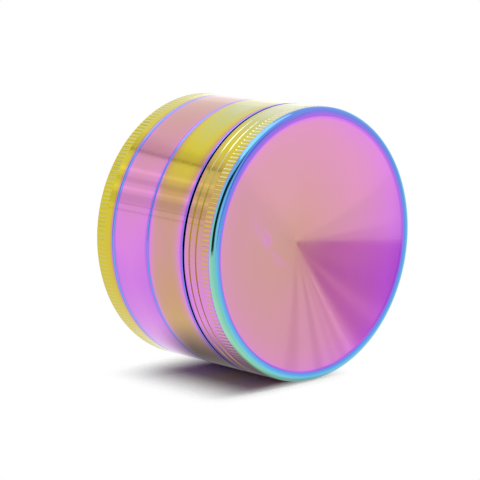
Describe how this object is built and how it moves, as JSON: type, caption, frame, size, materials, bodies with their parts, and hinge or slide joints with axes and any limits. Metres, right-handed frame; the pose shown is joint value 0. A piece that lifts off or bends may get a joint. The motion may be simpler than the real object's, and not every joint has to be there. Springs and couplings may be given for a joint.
{
  "type": "herb grinder",
  "caption": "Round metal herb grinder in stacked sections: dished toothed lid, toothed chamber with drop holes, sifter with a mesh screen, and a shallow tray, screwed together.",
  "frame": {"origin": "middle of the tray's underside", "axes": "+Z along the grinder's axis, from the tray to the lid; +X through a gap between the teeth"},
  "size_m": [0.063, 0.063, 0.04],
  "materials": {
    "lid_coating": "iridescent vapour-deposited film over turned zinc alloy, pink with blue edges",
    "chamber_coating": "iridescent vapour-deposited film over turned zinc alloy, peach to yellow",
    "sifter_coating": "iridescent vapour-deposited film over turned zinc alloy, pink to violet",
    "tray_coating": "iridescent vapour-deposited film over turned zinc alloy, gold",
    "magnet_nickel": "nickel plate",
    "glide_plastic": "natural nylon",
    "screen_steel": "woven stainless wire",
    "ring_steel": "drawn spring steel"
  },
  "bodies": {
    "tray": {"pollen_tray": "tray_coating"},
    "screen": {"mesh_screen": "screen_steel", "screen_ring": "ring_steel"},
    "sifter": {"sifter_chamber": "sifter_coating"},
    "lower_magnet": {"chamber_magnet": "magnet_nickel"},
    "chamber": {"grinding_chamber": "chamber_coating", "chamber_teeth": "chamber_coating"},
    "glide": {"glide_ring": "glide_plastic"},
    "lid": {"lid_shell": "lid_coating", "lid_teeth": "lid_coating", "lid_magnet": "magnet_nickel"}
  },
  "joints": [
    {"name": "sifter_rise", "type": "slide", "parent": "tray", "child": "screen", "axis": [0, 0, 1], "range_m": [0, 0.003]},
    {"name": "sifter_turn", "type": "hinge", "parent": "screen", "child": "sifter", "pos_m": [0, 0, 0.006], "axis": [0, 0, 1], "range_deg": [0, 720]},
    {"name": "chamber_rise", "type": "slide", "parent": "sifter", "child": "lower_magnet", "axis": [0, 0, 1], "range_m": [0, 0.00375]},
    {"name": "chamber_turn", "type": "hinge", "parent": "lower_magnet", "child": "chamber", "pos_m": [0, 0, 0.0183], "axis": [0, 0, 1], "range_deg": [0, 900]},
    {"name": "lid_lift", "type": "slide", "parent": "chamber", "child": "glide", "axis": [0, 0, 1], "range_m": [0, 0.025]},
    {"name": "lid_spin", "type": "hinge", "parent": "glide", "child": "lid", "pos_m": [0, 0, 0.0333], "axis": [0, 0, 1], "continuous": true}
  ],
  "couplings": [
    {"joint": "sifter_rise", "follows": "sifter_turn", "m_per_rad": 0.00023873},
    {"joint": "chamber_rise", "follows": "chamber_turn", "m_per_rad": 0.00023873}
  ]
}
